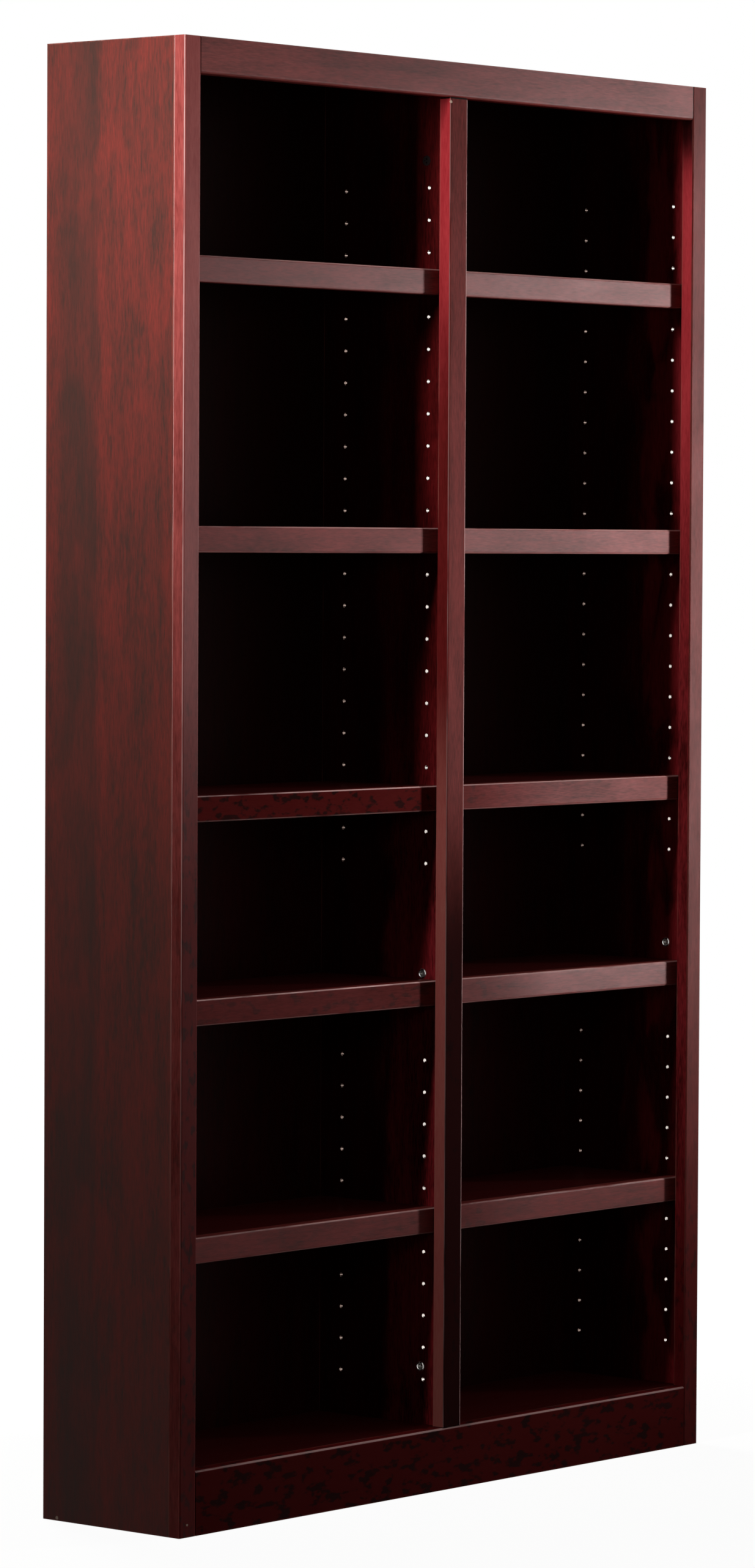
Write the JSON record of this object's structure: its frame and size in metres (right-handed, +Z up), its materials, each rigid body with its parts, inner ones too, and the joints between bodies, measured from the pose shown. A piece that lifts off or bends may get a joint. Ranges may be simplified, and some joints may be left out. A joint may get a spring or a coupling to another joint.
{
  "type": "double wide bookcase",
  "caption": "Tall double wide wooden bookcase with a face frame, centre divider, fixed and adjustable nosed shelves on pins, and a closed back.",
  "frame": {"origin": "on the floor under the middle of the case", "axes": "+Z up, the open front faces -Y, +X to the right seen from the front"},
  "size_m": [1.2192, 0.2666, 2.1336],
  "materials": {
    "panel_veneer": "red-brown stained veneer, satin lacquer",
    "shelf_veneer": "red-brown stained veneer, satin lacquer",
    "frame_solid": "red-brown stained solid wood, satin lacquer",
    "back_sheet": "dark stained sheet",
    "pin_steel": "nickel plated steel",
    "cam_zinc": "bright zinc"
  },
  "bodies": {
    "case": {"left_side_panel": "panel_veneer", "right_side_panel": "panel_veneer", "centre_divider": "panel_veneer", "top_panel": "panel_veneer", "bottom_panel": "panel_veneer", "back_panel_left": "back_sheet", "back_panel_right": "back_sheet", "left_stile": "frame_solid", "right_stile": "frame_solid", "centre_mullion": "frame_solid", "top_rail": "frame_solid", "bottom_rail": "frame_solid", "shelf_board_left_4": "shelf_veneer", "shelf_nosing_left_4": "frame_solid", "shelf_board_right_4": "shelf_veneer", "shelf_nosing_right_4": "frame_solid", "shelf_pins_left_bay": "pin_steel", "shelf_pins_right_bay": "pin_steel", "cam_discs": "cam_zinc", "cam_bolts": "cam_zinc"},
    "shelf_left_1": {"shelf_board_left_1": "shelf_veneer", "shelf_nosing_left_1": "frame_solid"},
    "shelf_left_2": {"shelf_board_left_2": "shelf_veneer", "shelf_nosing_left_2": "frame_solid"},
    "shelf_left_3": {"shelf_board_left_3": "shelf_veneer", "shelf_nosing_left_3": "frame_solid"},
    "shelf_left_5": {"shelf_board_left_5": "shelf_veneer", "shelf_nosing_left_5": "frame_solid"},
    "shelf_right_1": {"shelf_board_right_1": "shelf_veneer", "shelf_nosing_right_1": "frame_solid"},
    "shelf_right_2": {"shelf_board_right_2": "shelf_veneer", "shelf_nosing_right_2": "frame_solid"},
    "shelf_right_3": {"shelf_board_right_3": "shelf_veneer", "shelf_nosing_right_3": "frame_solid"},
    "shelf_right_5": {"shelf_board_right_5": "shelf_veneer", "shelf_nosing_right_5": "frame_solid"}
  },
  "joints": [
    {"name": "lift_left_1", "type": "slide", "parent": "case", "child": "shelf_left_1", "axis": [0, 0, 1], "range_m": [0, 0.282]},
    {"name": "lift_left_2", "type": "slide", "parent": "case", "child": "shelf_left_2", "axis": [0, 0, 1], "range_m": [0, 0.341]},
    {"name": "lift_left_3", "type": "slide", "parent": "case", "child": "shelf_left_3", "axis": [0, 0, 1], "range_m": [0, 0.341]},
    {"name": "lift_left_5", "type": "slide", "parent": "case", "child": "shelf_left_5", "axis": [0, 0, 1], "range_m": [0, 0.297]},
    {"name": "lift_right_1", "type": "slide", "parent": "case", "child": "shelf_right_1", "axis": [0, 0, 1], "range_m": [0, 0.282]},
    {"name": "lift_right_2", "type": "slide", "parent": "case", "child": "shelf_right_2", "axis": [0, 0, 1], "range_m": [0, 0.341]},
    {"name": "lift_right_3", "type": "slide", "parent": "case", "child": "shelf_right_3", "axis": [0, 0, 1], "range_m": [0, 0.341]},
    {"name": "lift_right_5", "type": "slide", "parent": "case", "child": "shelf_right_5", "axis": [0, 0, 1], "range_m": [0, 0.297]}
  ]
}
